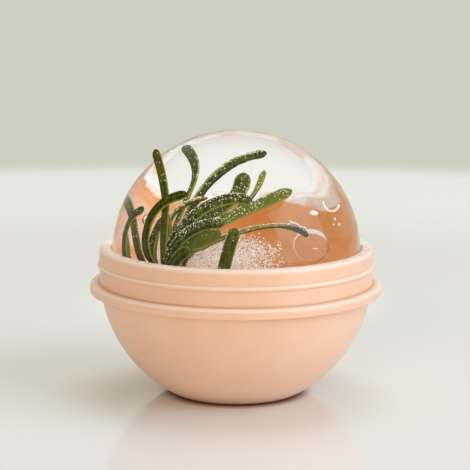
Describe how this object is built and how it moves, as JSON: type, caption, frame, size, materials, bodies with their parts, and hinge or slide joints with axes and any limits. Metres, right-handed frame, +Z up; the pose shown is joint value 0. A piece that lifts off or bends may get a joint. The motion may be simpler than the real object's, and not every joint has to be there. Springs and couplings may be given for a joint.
{
  "type": "ice ball mold",
  "caption": "Lower half of a round silicone ice mold with a stepped collar, holding a clear ice ball with rosemary frozen in it.",
  "frame": {"origin": "centre of the flat foot, on the surface that the mold stands on", "axes": "+Z up through the middle of the bowl and the ball, +Y away from the viewer of the picture, +X to the viewer's right"},
  "size_m": [0.074, 0.074, 0.0668],
  "materials": {
    "silicone": "matte moulded silicone, peach",
    "ice": "clear wet ice with small bubbles and frost round the leaves",
    "rosemary": "dark green needle leaves with yellow-green undersides"
  },
  "bodies": {
    "root": {"mold_half": "silicone", "ice_ball": "ice", "rosemary_sprig": "rosemary"}
  },
  "joints": []
}
